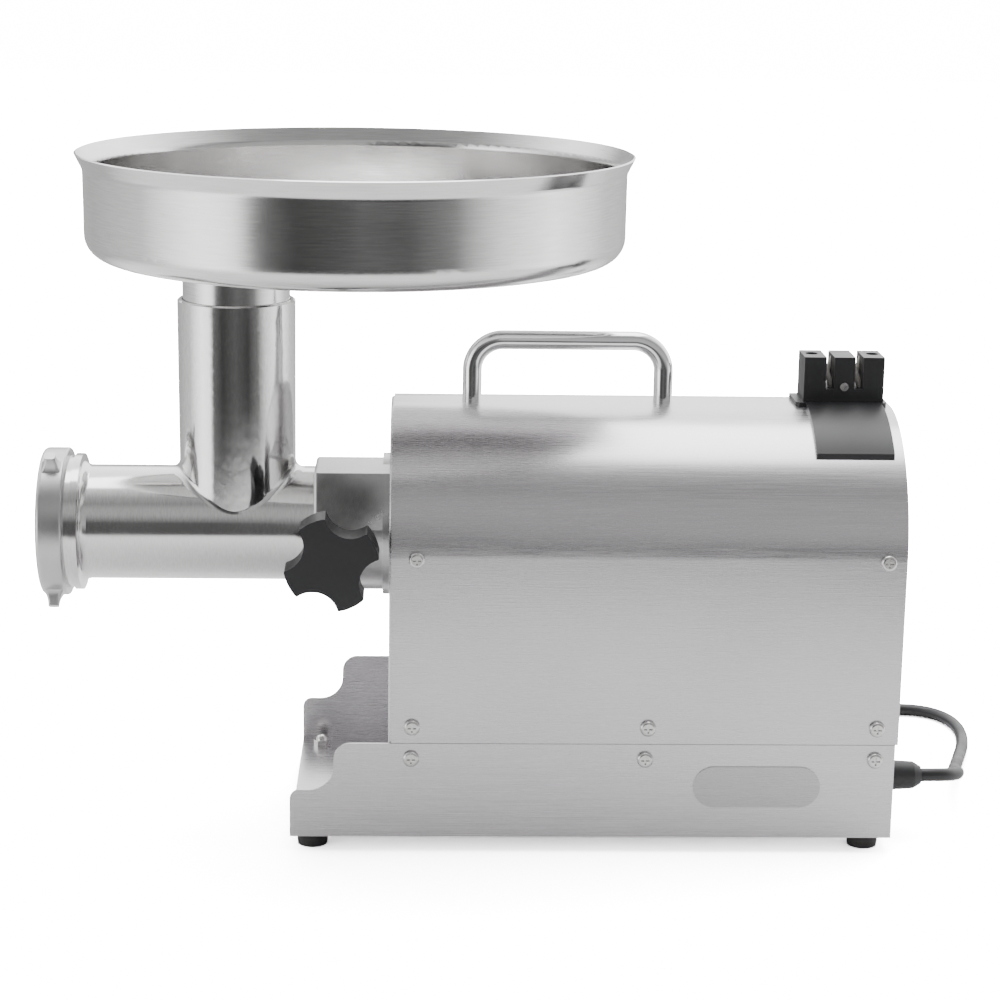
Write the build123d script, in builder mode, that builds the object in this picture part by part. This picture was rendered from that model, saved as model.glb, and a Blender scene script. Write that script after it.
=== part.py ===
from build123d import *
from math import acos, cos, pi, radians, sin, tan
import os

os.makedirs("parts", exist_ok=True)

# Electric meat grinder, sizes in millimetres. +X runs from the outlet towards the motor,
# +Z is up, and the lock knob is on the -Y side. The machine stands on Z = 0. The numbers
# here have X = 0 at the middle of the housing and the head, and save() moves it to the
# middle of everything but the cord.

# --- Driving dimensions ---------------------------------------------------------------
SHEET = 1.2                      # thickness of the folded stainless sheet
RUN_GAP = 0.05                   # radial running clearance of shafts in their bores
FIT_GAP = 0.02                   # radial clearance of pieces that are fixed together

BASE_FRONT, BASE_REAR = -89.9, 220.7
BASE_HALF = 75.9                 # half width of the base
BASE_BOTTOM, BASE_TOP = 8.5, 58.9
BASE_STEP_X, BASE_STEP_Z = -67.4, 33.7

COVER_FRONT, COVER_REAR = -38.1, 222.1
COVER_HALF = 75.5
COVER_BOTTOM, RIDGE = 59.0, 223.1
ARCH_R = 67.0
PANEL_FACE = -39.6               # front face of the front panel
REAR_FACE = 221.0                # rear face of the rear panel

AXIS_Z = 155.8                   # auger and drive axis
THROAT_X = -120.1                # feed throat axis
THROAT_TOP = 275.5
TRAY_X = -58.1                   # tray centre
TRAY_R, TRAY_RIM_R = 138.7, 143.0
TRAY_BOTTOM, TRAY_RIM = 298.6, 351.4

BARREL_R, THROAT_R = 30.1, 30.6
RING_FRONT, RING_REAR, RING_R = -222.0, -208.4, 39.0
PLATE_R, PLATE_T = 31.0, 8.0     # standard #8 grinding plate, 62 mm
BORE_R = 26.0                    # auger bore
SHANK_R = 25.0                   # spigot of the head that enters the socket

KNOB_X, KNOB_FACE, KNOB_T, KNOB_R = -68.0, -88.0, 18.4, 23.9

STAGE1_MODULE, STAGE2_MODULE = 1.0, 1.5
PINION_TEETH, COUNTER_TEETH, OUTPUT_TEETH = 14, 56, 49
COUNTER_Z = AXIS_Z - STAGE2_MODULE * (PINION_TEETH + OUTPUT_TEETH) / 2
MOTOR_Z = COUNTER_Z + STAGE1_MODULE * (PINION_TEETH + COUNTER_TEETH) / 2

FOOT_X, FOOT_Y = (-78.7, 208.4), 62.0
CORD_R = 3.5
RELIEF_END = 241.0               # outer end of the cord's strain relief
GLAND_Y, GLAND_Z = -45.0, 32.0

MIDDLE_X = (RING_FRONT + RELIEF_END) / 2


def save(part, name):
    """Label a finished sub-part and write it as one STEP file, with X = 0 at the machine's middle."""
    placed = part.moved(Location((-MIDDLE_X, 0, 0)))
    placed.label = name
    export_step(placed, f"parts/{name}.step")


def bar(x0, x1, y, z, radius):
    """A round bar along X, for unions and cuts."""
    return Pos((x0 + x1) / 2, y, z) * Rot(0, 90, 0) * Cylinder(radius, x1 - x0, mode=Mode.PRIVATE)


def block(x0, x1, y0, y1, z0, z1):
    """A box given by its limits, for unions and cuts."""
    middle = Pos((x0 + x1) / 2, (y0 + y1) / 2, (z0 + z1) / 2)
    return middle * Box(x1 - x0, y1 - y0, z1 - z0, mode=Mode.PRIVATE)


def arch_face(x, inset, bottom):
    """Section of the arched housing on a plane across X, inset from the cover's skin."""
    half, top = COVER_HALF - inset, RIDGE - inset
    with BuildSketch(Plane.YZ.offset(x), mode=Mode.PRIVATE) as section:
        with Locations((0, (bottom + top) / 2)):
            Rectangle(2 * half, top - bottom)
        fillet(section.vertices().group_by(Axis.Y)[-1], ARCH_R - inset)
    return section.sketch


def ring_at(x0, x1, y, z, outer, inner):
    """A plain ring along X, such as a bearing."""
    return bar(x0, x1, y, z, outer) - bar(x0 - 1, x1 + 1, y, z, inner)


def near(x, z, y):
    """Where a screw sits on the near side, head towards -Y."""
    return Location((x, y, z), (90, 0, 0))


def far(x, z, y):
    """Where a screw sits on the far side, head towards +Y."""
    return Location((x, y, z), (-90, 0, 0))


# --- Base -----------------------------------------------------------------------------
BASE_SCREWS_X, BASE_SCREW_Z = (-27.9, 92.0, 210.5), 51.0
SIDE_SCREWS = ((-25.6, 155.8), (212.4, 155.8), (-27.5, 67.7), (93.1, 67.7), (210.8, 67.7))
SCREW_HOLE_R = 2.15

with BuildPart() as base_pan:
    with BuildSketch(Plane.XZ.offset(-BASE_HALF)) as base_side:
        with BuildLine():
            Polyline(
                (BASE_FRONT, BASE_BOTTOM), (BASE_FRONT, BASE_STEP_Z),
                (BASE_STEP_X, BASE_STEP_Z), (BASE_STEP_X, BASE_TOP),
                (BASE_REAR, BASE_TOP), (BASE_REAR, BASE_BOTTOM), close=True,
            )
        make_face()
        fillet(base_side.vertices().sort_by_distance((BASE_FRONT, BASE_STEP_Z, 0))[0], 5)
        fillet(base_side.vertices().sort_by_distance((BASE_STEP_X, BASE_STEP_Z, 0))[0], 12.5)
        fillet(base_side.vertices().sort_by_distance((BASE_STEP_X, BASE_TOP, 0))[0], 8.5)
    extrude(amount=2 * BASE_HALF)
    add(block(BASE_FRONT - 5, BASE_REAR - SHEET, SHEET - BASE_HALF, BASE_HALF - SHEET,
              BASE_BOTTOM + SHEET, BASE_TOP + 5), mode=Mode.SUBTRACT)
    for foot_x in FOOT_X:
        with Locations((foot_x, -FOOT_Y, 0), (foot_x, FOOT_Y, 0)):
            Cylinder(2.6, 40, mode=Mode.SUBTRACT)
    for screw_x in BASE_SCREWS_X:
        with Locations(Location((screw_x, 0, BASE_SCREW_Z), (90, 0, 0))):
            Cylinder(SCREW_HOLE_R, 4 * BASE_HALF, mode=Mode.SUBTRACT)
    with Locations(Location((BASE_REAR, GLAND_Y, GLAND_Z), (0, 90, 0))):
        Cylinder(7.0, 10, mode=Mode.SUBTRACT)
    with BuildSketch(Plane.XY.offset(BASE_BOTTOM)):
        with Locations((20, 0)):
            with GridLocations(12, 44, 5, 2):
                SlotOverall(34, 4, rotation=90)
    extrude(amount=SHEET, mode=Mode.SUBTRACT)
save(base_pan.part, "base_pan")

with BuildPart() as rubber_feet:
    for foot_x in FOOT_X:
        for foot_y in (-FOOT_Y, FOOT_Y):
            with BuildSketch(Plane.XY) as foot_sole:
                with Locations((foot_x, foot_y)):
                    Circle(7.7)
                    Circle(4.6, mode=Mode.SUBTRACT)
            with BuildSketch(Plane.XY.offset(BASE_BOTTOM)) as foot_top:
                with Locations((foot_x, foot_y)):
                    Circle(8.4)
                    Circle(4.6, mode=Mode.SUBTRACT)
            loft([foot_sole.sketch, foot_top.sketch])
            with Locations((foot_x, foot_y, 5.5)):
                Cylinder(5.0, 2 * (BASE_BOTTOM - 5.5), mode=Mode.ADD)
                Cylinder(2.6, 20, mode=Mode.SUBTRACT)
save(rubber_feet.part, "rubber_feet")

ACORN_FLAT_R = 4.6
with BuildPart() as acorn_nuts:
    for foot_x in FOOT_X:
        for foot_y in (-FOOT_Y, FOOT_Y):
            floor = BASE_BOTTOM + SHEET
            with BuildSketch(Plane.XY.offset(floor)):
                with Locations((foot_x, foot_y)):
                    RegularPolygon(ACORN_FLAT_R, 6)
            extrude(amount=3.6)
            with Locations((foot_x, foot_y, floor + 3.6)):
                Sphere(3.4)
            with Locations((foot_x, foot_y, floor + 1.6)):
                Cylinder(2.05, 3.4, mode=Mode.SUBTRACT)
save(acorn_nuts.part, "acorn_nuts")

with BuildPart() as foot_bolts:
    for foot_x in FOOT_X:
        for foot_y in (-FOOT_Y, FOOT_Y):
            with Locations((foot_x, foot_y, 7.4)):
                Cylinder(2.0, 10.8)
            with Locations((foot_x, foot_y, 1.2)):
                Cylinder(4.0, 1.6)
save(foot_bolts.part, "foot_bolts")

# --- Housing --------------------------------------------------------------------------
HANDLE_X = (2.6, 102.9)
SHARPENER_SCREW_X = (181.0, 213.0)

with BuildPart() as housing_cover:
    extrude(arch_face(COVER_FRONT, 0, COVER_BOTTOM), amount=COVER_REAR - COVER_FRONT)
    inner_face = arch_face(COVER_FRONT, SHEET, COVER_BOTTOM - 5)
    extrude(inner_face, amount=COVER_REAR - COVER_FRONT, mode=Mode.SUBTRACT)
    for screw_x, screw_z in SIDE_SCREWS:
        with Locations(Location((screw_x, 0, screw_z), (90, 0, 0))):
            Cylinder(SCREW_HOLE_R, 4 * COVER_HALF, mode=Mode.SUBTRACT)
    for handle_x in HANDLE_X:
        with Locations((handle_x, 0, RIDGE)):
            Cylinder(4.2, 20, mode=Mode.SUBTRACT)
    for screw_x in SHARPENER_SCREW_X:
        with Locations((screw_x, 2, RIDGE)):
            Cylinder(1.7, 20, mode=Mode.SUBTRACT)
save(housing_cover.part, "housing_cover")

SOCKET_BOLT_RING = 30.5          # the socket is bolted from inside the gearbox
SOCKET_BOLTS = [(SOCKET_BOLT_RING * cos(radians(a)), AXIS_Z + SOCKET_BOLT_RING * sin(radians(a)))
                for a in (45, 135, 225, 315)]
SOCKET_BOLT_SEAT = -31.0

PANEL_INSET = SHEET + 0.15
PANEL_BEND = 1.2
DRIVE_HOLE_R = 24.0
with BuildPart() as front_panel:
    extrude(arch_face(PANEL_FACE, PANEL_INSET, BASE_BOTTOM + SHEET + 0.1), amount=24.0)
    inner_face = arch_face(PANEL_FACE + SHEET, PANEL_INSET + SHEET, BASE_BOTTOM + 2 * SHEET)
    extrude(inner_face, amount=24.0, mode=Mode.SUBTRACT)
    fillet(front_panel.faces().sort_by(Axis.X)[0].edges(), PANEL_BEND)
    add(bar(-60, 0, 0, AXIS_Z, DRIVE_HOLE_R), mode=Mode.SUBTRACT)
    for bolt_y, bolt_z in SOCKET_BOLTS:
        add(bar(-60, -30, bolt_y, bolt_z, 3.3), mode=Mode.SUBTRACT)
    for screw_x, screw_z in ((SIDE_SCREWS[0]), (SIDE_SCREWS[2]), (BASE_SCREWS_X[0], BASE_SCREW_Z)):
        with Locations(Location((screw_x, 0, screw_z), (90, 0, 0))):
            Cylinder(SCREW_HOLE_R, 4 * COVER_HALF, mode=Mode.SUBTRACT)
save(front_panel.part, "front_panel")

SWITCH_Y, BREAKER_Y, CONTROL_Z = 26.0, -26.0, 112.0
with BuildPart() as rear_panel:
    extrude(arch_face(REAR_FACE, PANEL_INSET, COVER_BOTTOM + 0.2), amount=-22.0)
    inner_face = arch_face(REAR_FACE - SHEET, PANEL_INSET + SHEET, COVER_BOTTOM + 0.2 + SHEET)
    extrude(inner_face, amount=-22.0, mode=Mode.SUBTRACT)
    fillet(rear_panel.faces().sort_by(Axis.X)[-1].edges(), PANEL_BEND)
    add(block(190, 230, SWITCH_Y - 10.7, SWITCH_Y + 10.7, CONTROL_Z - 15.2, CONTROL_Z + 15.2),
        mode=Mode.SUBTRACT)
    add(bar(190, 230, BREAKER_Y, CONTROL_Z, 5.7), mode=Mode.SUBTRACT)
    for vent_z in (152, 161, 170, 179, 188):
        for vent_y in (-24, 24):
            add(block(190, 230, vent_y - 17, vent_y + 17, vent_z - 1.75, vent_z + 1.75),
                mode=Mode.SUBTRACT)
    for screw_x, screw_z in ((SIDE_SCREWS[1]), (SIDE_SCREWS[4])):
        with Locations(Location((screw_x, 0, screw_z), (90, 0, 0))):
            Cylinder(SCREW_HOLE_R, 4 * COVER_HALF, mode=Mode.SUBTRACT)
    with Locations((SHARPENER_SCREW_X[-1], 2, RIDGE)):
        Cylinder(3.0, 20, mode=Mode.SUBTRACT)
save(rear_panel.part, "rear_panel")

STRIP_OUT = COVER_HALF - SHEET - 0.1
with BuildPart() as joining_strips:
    for side in (-1, 1):
        with Locations((92.5, side * (STRIP_OUT - 1.0), 59.4)):
            Box(34, 2.0, 32)
    for screw_x, screw_z in ((SIDE_SCREWS[3]), (BASE_SCREWS_X[1], BASE_SCREW_Z)):
        with Locations(Location((screw_x, 0, screw_z), (90, 0, 0))):
            Cylinder(SCREW_HOLE_R, 4 * COVER_HALF, mode=Mode.SUBTRACT)
save(joining_strips.part, "joining_strips")

# --- Pan-head cross-recess screws -----------------------------------------------------
HEAD_R, HEAD_H, SHANK_LENGTH = 4.15, 2.6, 6.5

with BuildPart() as pan_screw:
    Cylinder(HEAD_R, HEAD_H, align=(Align.CENTER, Align.CENTER, Align.MIN))
    fillet(pan_screw.edges().group_by(Axis.Z)[-1], 1.5)
    for turn in (0, 90):
        with Locations(Location((0, 0, HEAD_H), (0, 0, turn))):
            Box(4.4, 0.95, 2.6, mode=Mode.SUBTRACT)
    Cylinder(2.0, SHANK_LENGTH, align=(Align.CENTER, Align.CENTER, Align.MAX))


def both_sides(points, y):
    """Screw places on the near and the far side for a list of (x, z) points."""
    return [near(x, z, -y) for x, z in points] + [far(x, z, y) for x, z in points]


with BuildPart() as cover_screws:
    for place in both_sides(SIDE_SCREWS, COVER_HALF):
        add(pan_screw.part.moved(place))
save(cover_screws.part, "cover_screws")

with BuildPart() as base_screws:
    for place in both_sides([(x, BASE_SCREW_Z) for x in BASE_SCREWS_X[:2]], BASE_HALF):
        add(pan_screw.part.moved(place))
    for place in both_sides([(BASE_SCREWS_X[2], BASE_SCREW_Z)], BASE_HALF):
        add(pan_screw.part.moved(place))
save(base_screws.part, "base_screws")

# --- Carry handle ---------------------------------------------------------------------
HANDLE_R, HANDLE_Z, HANDLE_BEND = 5.0, 255.0, 16.0

with BuildPart() as carry_handle:
    with BuildLine() as handle_line:
        FilletPolyline(
            (HANDLE_X[0], 0, RIDGE), (HANDLE_X[0], 0, HANDLE_Z),
            (HANDLE_X[1], 0, HANDLE_Z), (HANDLE_X[1], 0, RIDGE), radius=HANDLE_BEND,
        )
    with BuildSketch(Plane((HANDLE_X[0], 0, RIDGE))):
        Circle(HANDLE_R)
    sweep(path=handle_line.wires()[0])
    for handle_x in HANDLE_X:
        with Locations((handle_x, 0, RIDGE)):
            Cylinder(4.0, 14, align=(Align.CENTER, Align.CENTER, Align.MAX))
save(carry_handle.part, "carry_handle")

with BuildPart() as handle_nuts:
    for handle_x in HANDLE_X:
        with BuildSketch(Plane.XY.offset(RIDGE - SHEET)):
            with Locations((handle_x, 0)):
                Circle(7.8)
        extrude(amount=-1.2)
        with BuildSketch(Plane.XY.offset(RIDGE - SHEET - 1.2)):
            with Locations((handle_x, 0)):
                RegularPolygon(7.5, 6)
        extrude(amount=-6.5)
        with Locations((handle_x, 0, RIDGE - 10)):
            Cylinder(4.0 + RUN_GAP, 40, mode=Mode.SUBTRACT)
save(handle_nuts.part, "handle_nuts")

# --- Knife sharpener ------------------------------------------------------------------
SADDLE_T = 2.3
POSTS = ((175.8, 187.3), (191.4, 202.4), (206.6, 217.8))
POST_FRONT, POST_REAR, POST_TOP = -10.0, 12.0, 249.0
ROD_R = 1.55
ROD_PLACES = [Location((slot_x, 1 + side * 3.2, 237.6), (0, side * 20, 0))
              for slot_x in (189.35, 204.5) for side in (-1, 1)]


def saddle(x0, x1, y0, y1):
    """A band that follows the arch between two limits across the machine."""
    with BuildPart(mode=Mode.PRIVATE) as band:
        extrude(arch_face(x0, -SADDLE_T, 150), amount=x1 - x0)
        extrude(arch_face(x0, 0, 140), amount=x1 - x0, mode=Mode.SUBTRACT)
        add(block(x0 - 1, x1 + 1, y0, y1, 140, 240), mode=Mode.INTERSECT)
    return band.part


top_band, side_flap = saddle(171.8, 219.6, -12.0, 17.0), saddle(176.8, 216.6, -55.0, -10.0)
with BuildPart() as sharpener_body:
    add(top_band)
    fillet(sharpener_body.edges().filter_by(Axis.Z), 3)
    add(side_flap)
    for x0, x1 in POSTS:
        with Locations(((x0 + x1) / 2, (POST_FRONT + POST_REAR) / 2, (RIDGE + POST_TOP) / 2 + 0.5)):
            Box(x1 - x0, POST_REAR - POST_FRONT, POST_TOP - RIDGE - 1.0)
    with Locations((196.8, 1.0, RIDGE + 5.0)):
        Box(41.5, 21.9, 8.0)
    for screw_x in SHARPENER_SCREW_X:
        with Locations((screw_x, 2, 240)):
            Cylinder(1.7, 60, mode=Mode.SUBTRACT)
            Cylinder(3.3, 16, align=(Align.CENTER, Align.CENTER, Align.MIN), mode=Mode.SUBTRACT)
    with Locations(Location((196.9, POST_FRONT, 233.6), (90, 0, 0))):
        Cylinder(1.3, 16, mode=Mode.SUBTRACT)
    with Locations(*ROD_PLACES):
        Cylinder(ROD_R + FIT_GAP, 20.4, mode=Mode.SUBTRACT)
save(sharpener_body.part, "sharpener_body")

with BuildPart() as sharpener_rods:
    with Locations(*ROD_PLACES):
        Cylinder(ROD_R, 20.0)
save(sharpener_rods.part, "sharpener_rods")

with BuildPart() as sharpener_screws:
    for screw_x in SHARPENER_SCREW_X:
        with Locations((screw_x, 2, 240)):
            Cylinder(3.1, 2.0, align=(Align.CENTER, Align.CENTER, Align.MIN))
            Cylinder(1.6, 21, align=(Align.CENTER, Align.CENTER, Align.MAX))
    with Locations(Location((196.9, POST_FRONT, 233.6), (90, 0, 0))):
        Cylinder(2.2, 1.2, align=(Align.CENTER, Align.CENTER, Align.MIN))
        Cylinder(1.2, 6, align=(Align.CENTER, Align.CENTER, Align.MAX))
save(sharpener_screws.part, "sharpener_screws")

# --- Gearbox --------------------------------------------------------------------------
CASE_FRONT, CASE_REAR, LID_REAR = PANEL_FACE + SHEET, 26.0, 34.0
CASE_WALL = 6.0
UPPER_R, LOWER_R = 40.0, 32.0    # inner radii round the output gear and the countershaft
MID_FRONT, MID_REAR = -5.0, 4.0
BEARING_DRIVE_R, BEARING_DRIVE_W = 21.0, 12.0
BEARING_TAIL_R, BEARING_TAIL_W = 17.5, 9.0
BEARING_COUNTER_R, BEARING_COUNTER_W = 13.0, 8.0
BEARING_MOTOR_R, BEARING_MOTOR_W = 16.0, 10.0
DRIVE_R, TAIL_R, COUNTER_R, MOTOR_R = 10.0, 7.5, 5.0, 6.0
CASE_FACE_DEPTH = 12.4           # thickness of the front wall, which seats two bearings
COUNTER_SEAT = CASE_FRONT + 2.4


def case_face(x, grow):
    """Capsule round the two gear axes, grown from the cavity's outline."""
    with BuildSketch(Plane.YZ.offset(x), mode=Mode.PRIVATE) as section:
        with Locations((0, AXIS_Z)):
            Circle(UPPER_R + grow)
        with Locations((0, COUNTER_Z)):
            Circle(LOWER_R + grow)
        make_hull()
    return section.sketch


CASE_BOLTS = ((-43.5, AXIS_Z - 6), (43.5, AXIS_Z - 6), (-33, AXIS_Z + 31),
              (33, AXIS_Z + 31), (-30, COUNTER_Z - 22), (30, COUNTER_Z - 22))

with BuildPart() as gearbox_housing:
    extrude(case_face(CASE_FRONT, CASE_WALL), amount=CASE_REAR - CASE_FRONT)
    for bolt_y, bolt_z in CASE_BOLTS:
        add(bar(CASE_REAR - 22, CASE_REAR, bolt_y, bolt_z, 6.0))
    extrude(case_face(CASE_FRONT + CASE_FACE_DEPTH, 0), amount=80, mode=Mode.SUBTRACT)
    add(bar(-60, 0, 0, AXIS_Z, BEARING_DRIVE_R + FIT_GAP), mode=Mode.SUBTRACT)
    add(bar(COUNTER_SEAT, 0, 0, COUNTER_Z, BEARING_COUNTER_R + FIT_GAP), mode=Mode.SUBTRACT)
    for bolt_y, bolt_z in CASE_BOLTS:
        add(bar(CASE_REAR - 16, CASE_REAR + 5, bolt_y, bolt_z, 2.5 + FIT_GAP), mode=Mode.SUBTRACT)
    for bolt_y, bolt_z in SOCKET_BOLTS:
        add(bar(CASE_FRONT - 5, CASE_FRONT + 20, bolt_y, bolt_z, 3.0 + FIT_GAP), mode=Mode.SUBTRACT)
        add(bar(SOCKET_BOLT_SEAT, CASE_FRONT + 20, bolt_y, bolt_z, 4.9), mode=Mode.SUBTRACT)
save(gearbox_housing.part, "gearbox_housing")

with BuildPart() as gearbox_mid_plate:
    extrude(case_face(MID_FRONT, -FIT_GAP), amount=MID_REAR - MID_FRONT)
    add(bar(-20, 20, 0, AXIS_Z, BEARING_TAIL_R + FIT_GAP), mode=Mode.SUBTRACT)
    add(bar(-20, 20, 0, COUNTER_Z, 8.5), mode=Mode.SUBTRACT)
save(gearbox_mid_plate.part, "gearbox_mid_plate")

with BuildPart() as gearbox_lid:
    extrude(case_face(CASE_REAR, CASE_WALL), amount=LID_REAR - CASE_REAR)
    for bolt_y, bolt_z in CASE_BOLTS:
        add(bar(CASE_REAR, LID_REAR, bolt_y, bolt_z, 6.0))
    for bolt_y, bolt_z in CASE_BOLTS:
        add(bar(0, 60, bolt_y, bolt_z, 2.7), mode=Mode.SUBTRACT)
    add(bar(0, 60, 0, MOTOR_Z, 9.0), mode=Mode.SUBTRACT)
    add(bar(0, LID_REAR - 1, 0, COUNTER_Z, BEARING_COUNTER_R + FIT_GAP), mode=Mode.SUBTRACT)
save(gearbox_lid.part, "gearbox_lid")

with BuildPart() as gearbox_bolts:
    for bolt_y, bolt_z in CASE_BOLTS:
        add(bar(LID_REAR, LID_REAR + 4.5, bolt_y, bolt_z, 4.2))
        add(bar(CASE_REAR - 13, LID_REAR, bolt_y, bolt_z, 2.5))
        with BuildSketch(Plane.YZ.offset(LID_REAR + 4.5)):
            with Locations((bolt_y, bolt_z)):
                RegularPolygon(2.3, 6)
        extrude(amount=-2.5, mode=Mode.SUBTRACT)
save(gearbox_bolts.part, "gearbox_bolts")

# --- Bearings: one ring each, with a running gap to its shaft -------------------------
DRIVE_SEAT = CASE_FRONT + 0.2
with BuildPart() as drive_bearings:
    add(ring_at(DRIVE_SEAT, DRIVE_SEAT + BEARING_DRIVE_W, 0, AXIS_Z, BEARING_DRIVE_R, DRIVE_R + RUN_GAP))
    add(ring_at(MID_FRONT, MID_FRONT + BEARING_TAIL_W, 0, AXIS_Z, BEARING_TAIL_R, TAIL_R + RUN_GAP))
save(drive_bearings.part, "drive_bearings")

LID_SEAT = LID_REAR - 1 - BEARING_COUNTER_W
with BuildPart() as counter_bearings:
    for seat in (COUNTER_SEAT, LID_SEAT):
        add(ring_at(seat, seat + BEARING_COUNTER_W, 0, COUNTER_Z, BEARING_COUNTER_R, COUNTER_R + RUN_GAP))
save(counter_bearings.part, "counter_bearings")

MOTOR_SEATS = (37.0, 131.0)
with BuildPart() as motor_bearings:
    for seat in MOTOR_SEATS:
        add(ring_at(seat, seat + BEARING_MOTOR_W, 0, MOTOR_Z, BEARING_MOTOR_R, MOTOR_R + RUN_GAP))
save(motor_bearings.part, "motor_bearings")

# --- Gears ----------------------------------------------------------------------------
PRESSURE = radians(20)
BACKLASH = 0.12                  # thinning of each tooth at the pitch circle


def gear_face(x, z, teeth, module, addendum, phase):
    """Involute gear on a plane across X; phase is the angle of one tooth from +Y."""
    pitch_r = module * teeth / 2
    base_r, tip_r, root_r = pitch_r * cos(PRESSURE), pitch_r + addendum * module, pitch_r - 1.25 * module
    start_r = max(base_r, root_r)
    half_pitch = pi / (2 * teeth) - BACKLASH / pitch_r / 2

    def half_angle(r):
        at_r = acos(min(1, base_r / r))
        return half_pitch + (tan(PRESSURE) - PRESSURE) - (tan(at_r) - at_r)

    steps = [start_r + (tip_r - start_r) * k / 4 for k in range(5)]
    flank = [(r * cos(half_angle(r)), r * sin(half_angle(r))) for r in steps]
    inner = root_r * 0.9
    foot = (inner * cos(half_angle(start_r)), inner * sin(half_angle(start_r)))
    upper = [foot] + flank
    lower = [(px, -py) for px, py in reversed(upper)]
    with BuildSketch(Plane.YZ.offset(x), mode=Mode.PRIVATE) as section:
        with Locations((0, z)):
            Circle(root_r)
            with PolarLocations(0, teeth, start_angle=phase):
                Polygon(*upper, *lower, align=None)
    return section.sketch


STAGE2_FRONT, STAGE2_REAR = -22.0, -8.0
STAGE1_FRONT, STAGE1_REAR = 8.0, 18.0
COUPLING_END = -58.0             # front end of the drive shaft's square socket
SQUARE, SQUARE_GAP = 10.6, 0.15

with BuildPart() as output_gear:
    teeth = gear_face(STAGE2_FRONT, AXIS_Z, OUTPUT_TEETH, STAGE2_MODULE, 0.8, -90)
    extrude(teeth, amount=STAGE2_REAR - STAGE2_FRONT)
    for side_x in (STAGE2_FRONT, STAGE2_REAR):
        add(ring_at(side_x - 4, side_x + 4, 0, AXIS_Z, 30, 16), mode=Mode.SUBTRACT)
    add(bar(-60, 20, 0, AXIS_Z, DRIVE_R + FIT_GAP), mode=Mode.SUBTRACT)
save(output_gear.part, "output_gear")

with BuildPart() as drive_shaft:
    add(bar(COUPLING_END, STAGE2_REAR, 0, AXIS_Z, DRIVE_R))
    add(bar(STAGE2_REAR, MID_FRONT - 0.5, 0, AXIS_Z, DRIVE_R + 2.5))
    add(bar(MID_FRONT - 0.5, MID_REAR + 0.8, 0, AXIS_Z, TAIL_R))
    socket = (SQUARE + 2 * SQUARE_GAP) / 2
    add(block(COUPLING_END - 1, COUPLING_END + 14, -socket, socket, AXIS_Z - socket, AXIS_Z + socket),
        mode=Mode.SUBTRACT)
save(drive_shaft.part, "drive_shaft")

with BuildPart() as countershaft:
    add(bar(COUNTER_SEAT + 0.2, STAGE2_FRONT - 1, 0, COUNTER_Z, COUNTER_R))
    mesh_angle = 90 + 180 / PINION_TEETH
    teeth = gear_face(STAGE2_FRONT - 1, COUNTER_Z, PINION_TEETH, STAGE2_MODULE, 1.0, mesh_angle)
    extrude(teeth, amount=STAGE2_REAR - STAGE2_FRONT + 2)
    add(bar(STAGE2_REAR + 1, STAGE1_FRONT, 0, COUNTER_Z, 7.5))
    add(bar(STAGE1_FRONT, STAGE1_REAR, 0, COUNTER_Z, 6.0))
    add(bar(STAGE1_REAR, LID_SEAT, 0, COUNTER_Z, 6.0))
    add(bar(LID_SEAT, LID_REAR - 1.4, 0, COUNTER_Z, COUNTER_R))
save(countershaft.part, "countershaft")

with BuildPart() as counter_gear:
    teeth = gear_face(STAGE1_FRONT, COUNTER_Z, COUNTER_TEETH, STAGE1_MODULE, 0.8, 90)
    extrude(teeth, amount=STAGE1_REAR - STAGE1_FRONT)
    with BuildSketch(Plane.YZ.offset(STAGE1_FRONT)):
        with Locations((0, COUNTER_Z)):
            with PolarLocations(16.5, 6):
                Circle(4.5)
    extrude(amount=20, mode=Mode.SUBTRACT)
    add(bar(-20, 40, 0, COUNTER_Z, 6.0 + FIT_GAP), mode=Mode.SUBTRACT)
save(counter_gear.part, "counter_gear")

# --- Motor ----------------------------------------------------------------------------
STATOR_R, STATOR_BORE = 54.0, 27.6
CORE_FRONT, CORE_REAR = 56.0, 120.0
BELL_FRONT, BELL_REAR = LID_REAR, 146.0
FAN_FRONT, FAN_REAR = 150.0, 164.0


def bell(open_x, wall_x, seat_x, hole_r):
    """A motor end bell: a cup with a wall, a bearing boss and a shaft hole."""
    inward = 1 if open_x > wall_x else -1
    low, high = min(open_x, wall_x), max(open_x, wall_x)
    cup = bar(low, high, 0, MOTOR_Z, STATOR_R)
    hollow_from = wall_x + inward * 5
    cup -= bar(min(hollow_from, open_x + inward), max(hollow_from, open_x + inward), 0, MOTOR_Z, 49.5)
    boss_end = seat_x + BEARING_MOTOR_W if inward > 0 else seat_x
    cup += bar(min(wall_x, boss_end), max(wall_x, boss_end), 0, MOTOR_Z, 20.5)
    cup -= bar(seat_x, seat_x + BEARING_MOTOR_W, 0, MOTOR_Z, BEARING_MOTOR_R + FIT_GAP)
    return cup - bar(low - 5, high + 5, 0, MOTOR_Z, hole_r)


with BuildPart() as motor_front_bell:
    add(bell(CORE_FRONT, BELL_FRONT, MOTOR_SEATS[0], 9.0))
    for bolt_y, bolt_z in CASE_BOLTS:
        add(bar(20, LID_REAR + 6, bolt_y, bolt_z, 5.2), mode=Mode.SUBTRACT)
save(motor_front_bell.part, "motor_front_bell")

with BuildPart() as motor_rear_bell:
    add(bell(CORE_REAR, BELL_REAR, MOTOR_SEATS[1], 9.0))
    with BuildSketch(Plane.YZ.offset(BELL_REAR)):
        with Locations((0, MOTOR_Z)):
            with PolarLocations(36, 8):
                Circle(6)
    extrude(amount=-8, mode=Mode.SUBTRACT)
save(motor_rear_bell.part, "motor_rear_bell")

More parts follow.
